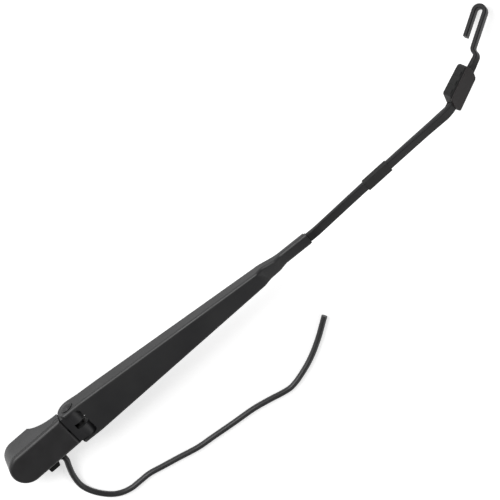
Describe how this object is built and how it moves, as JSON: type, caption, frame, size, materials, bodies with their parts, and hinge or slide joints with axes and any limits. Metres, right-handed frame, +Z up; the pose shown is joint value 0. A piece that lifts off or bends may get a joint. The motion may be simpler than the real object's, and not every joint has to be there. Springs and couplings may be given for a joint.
{
  "type": "windscreen wiper arm",
  "caption": "Black windscreen wiper arm: cast head with a flip-up nut cap, hinged steel channel with a spring inside, bent flat bar with a hook end, and washer hose with a nozzle block.",
  "frame": {"origin": "spindle axis at the underside of the head", "axes": "+X along the arm from the spindle to the hook, +Y towards the side of the arm with the nozzle block's shoulder, +Z up along the spindle axis"},
  "size_m": [0.616, 0.1866, 0.0509],
  "materials": {
    "cast_black": "satin",
    "sheet_black": "satin",
    "bar_black": "satin",
    "cap_plastic": "fine grain",
    "bush_plastic": "plain",
    "pin_steel": "bright",
    "spring_steel": "oiled",
    "hose_rubber": "matte",
    "fitting_plastic": "moulded",
    "cover_plastic": "smooth"
  },
  "bodies": {
    "head": {"arm_head": "cast_black", "bush_near": "bush_plastic", "bush_far": "bush_plastic", "link_pin": "pin_steel", "hose_connector": "fitting_plastic", "washer_hose": "hose_rubber"},
    "cap": {"head_cap": "cap_plastic", "cap_pin": "pin_steel"},
    "arm": {"channel": "sheet_black", "hinge_pin": "sheet_black", "pin_washer": "sheet_black", "arm_bar": "bar_black", "arm_hose": "hose_rubber", "channel_clip_1": "fitting_plastic", "channel_clip_2": "fitting_plastic", "hose_clip": "fitting_plastic", "nozzle_body": "fitting_plastic", "nozzle_cover": "cover_plastic", "nozzle_jet_1": "pin_steel", "nozzle_jet_2": "pin_steel"},
    "link": {"spring_link": "pin_steel", "spring": "spring_steel"}
  },
  "joints": [
    {"name": "arm_fold", "type": "hinge", "parent": "head", "child": "arm", "pos_m": [0.065, 0, 0.0245], "axis": [0, -1, 0], "range_deg": [0, 75], "deforming": ["spring", "arm_hose"]},
    {"name": "cap_flip", "type": "hinge", "parent": "head", "child": "cap", "pos_m": [0.0494, 0, 0.0271], "axis": [0, 1, 0], "range_deg": [0, 75]},
    {"name": "link_swing", "type": "hinge", "parent": "head", "child": "link", "pos_m": [0.06, 0, 0.017], "axis": [0, -1, 0], "range_deg": [0, 71]}
  ],
  "couplings": [
    {"joint": "link_swing", "follows": "arm_fold", "ratio": 0.94}
  ]
}
